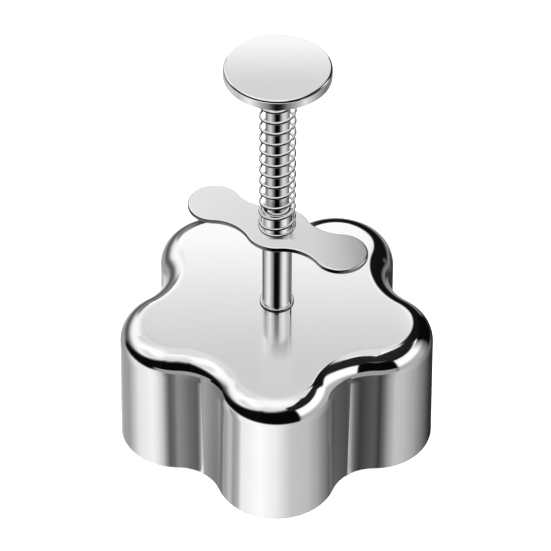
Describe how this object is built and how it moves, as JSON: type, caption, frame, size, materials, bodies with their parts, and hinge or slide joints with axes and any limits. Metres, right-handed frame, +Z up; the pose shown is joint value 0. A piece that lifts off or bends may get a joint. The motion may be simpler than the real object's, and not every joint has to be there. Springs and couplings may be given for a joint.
{
  "type": "rice ball mold",
  "caption": "Polished steel flower-shaped rice mold, open below, with a finger plate on its guide tube and a spring-returned thumb plunger that pushes the shaped rice out.",
  "frame": {"origin": "on the plunger's axis, in the plane of the cup's lower rim, which is the plane it stands on", "axes": "+Z up along the plunger's axis towards the thumb button; -Y towards the lobe that faces the viewer; +X to the viewer's right"},
  "size_m": [0.085, 0.0825, 0.1192],
  "materials": {
    "polished_steel": "mirror-polished stainless steel",
    "satin_steel": "satin stainless steel",
    "spring_steel": "drawn stainless spring wire"
  },
  "bodies": {
    "mold": {"mold_cup": "polished_steel", "guide_tube": "polished_steel", "foot_bead": "polished_steel", "backing_washer": "satin_steel", "finger_plate": "polished_steel", "return_spring": "spring_steel"},
    "plunger": {"push_rod": "polished_steel", "thumb_button": "polished_steel", "press_washer": "satin_steel", "press_plate": "satin_steel", "press_screw": "satin_steel"}
  },
  "joints": [
    {"name": "plunger_press", "type": "slide", "parent": "mold", "child": "plunger", "axis": [0, 0, -1], "range_m": [0, 0.032], "stiffness_N_per_m": 300, "springref_m": -0.008, "deforming": ["return_spring"]}
  ]
}
